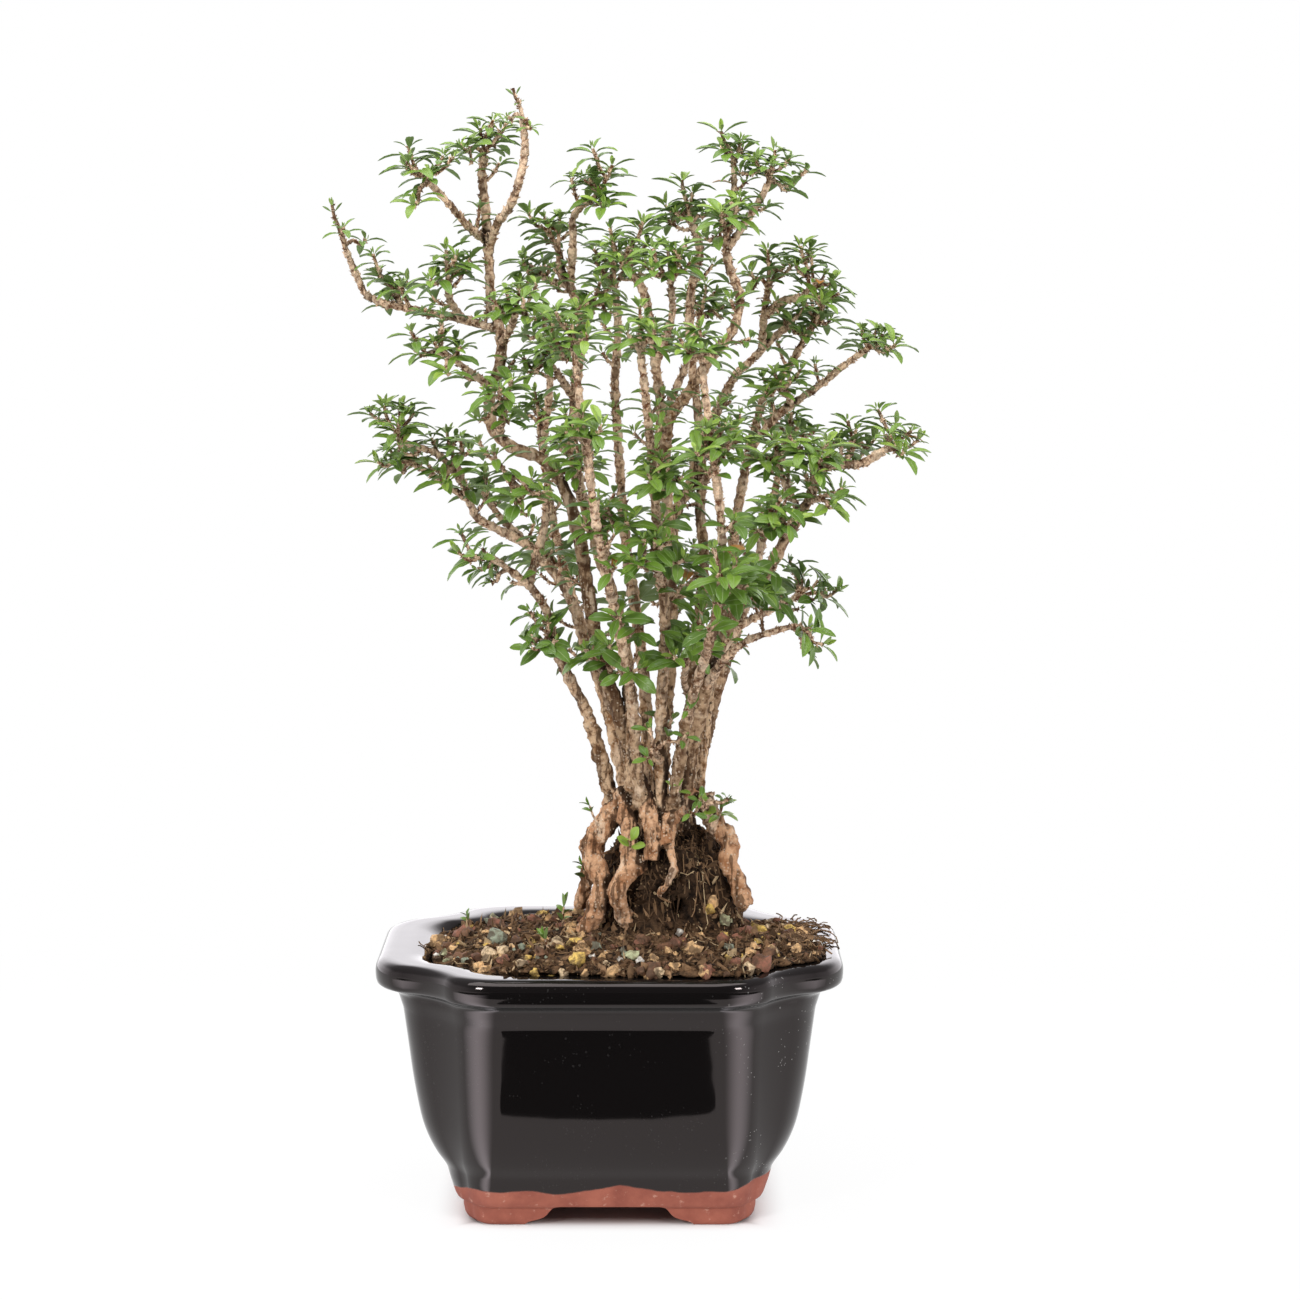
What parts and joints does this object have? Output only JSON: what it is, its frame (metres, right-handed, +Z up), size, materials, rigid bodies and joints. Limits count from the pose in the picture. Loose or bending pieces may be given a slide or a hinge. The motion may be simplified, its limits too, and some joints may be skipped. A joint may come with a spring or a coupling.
{
  "type": "serissa bonsai in a pot",
  "caption": "Clump-style bonsai with many thin stems and small glossy leaves, rooted on a mound of soil in a lobed, footed, glazed pot.",
  "frame": {"origin": "on the ground, under the middle of the whole plant's bounding box", "axes": "+Z up, -Y towards the front of the pot, +X to the right as seen from the front"},
  "size_m": [0.196, 0.1566, 0.3603],
  "materials": {
    "glazed_stoneware": "glossy black glaze over red-brown stoneware that is left bare at the feet",
    "soil": "dark moist peat with grit and small ochre, tan and grey-green pebbles",
    "bark": "thin light tan bark, smooth on the lower stems and knobbly on the twigs",
    "foliage": "small glossy mid-green leaves with a paler midrib and margin, paler below"
  },
  "bodies": {
    "root": {"pot": "glazed_stoneware", "soil": "soil", "wood": "bark", "spray_left_low": "foliage", "spray_left_low_twig": "foliage", "spray_left_dark": "foliage", "spray_left_dark_low": "foliage", "spray_left_dark_high": "foliage", "spray_left_front": "foliage", "spray_left_top": "foliage", "spray_tall_spike": "foliage", "spray_left_arm": "foliage", "spray_far_left": "foliage", "spray_far_left_low": "foliage", "spray_far_left_inner": "foliage", "spray_left_shoulder": "foliage", "spray_mid_left": "foliage", "spray_mid_top": "foliage", "spray_mid_low_front": "foliage", "spray_mid_up_front": "foliage", "spray_upper_left_back": "foliage", "spray_centre_left": "foliage", "spray_centre_front": "foliage", "spray_centre_front_low": "foliage", "spray_rugged": "foliage", "spray_rugged_side": "foliage", "spray_centre_right": "foliage", "spray_knot_right": "foliage", "spray_knot_up": "foliage", "spray_inner_right": "foliage", "spray_shelf_up": "foliage", "spray_shelf_right": "foliage", "spray_right_inner_front": "foliage", "spray_right_three": "foliage", "spray_far_right": "foliage", "spray_far_right_in": "foliage", "spray_main_right": "foliage", "spray_main_right_mid": "foliage", "spray_main_right_down": "foliage", "spray_main_right_in": "foliage", "spray_main_right_tall": "foliage", "spray_right_low": "foliage", "spray_right_low_back": "foliage", "spray_low_right": "foliage", "spray_low_middle": "foliage", "spray_low_left": "foliage", "spray_foot_shoot": "foliage", "spray_back_left": "foliage", "spray_back_left_low": "foliage", "spray_back_left_high": "foliage", "spray_back_centre": "foliage", "spray_back_centre_high": "foliage", "spray_back_right": "foliage", "spray_back_right_low": "foliage", "spray_front_left": "foliage", "spray_front_left_high": "foliage", "spray_front_right": "foliage", "spray_front_right_high": "foliage", "spray_front_right_low": "foliage"}
  },
  "joints": []
}
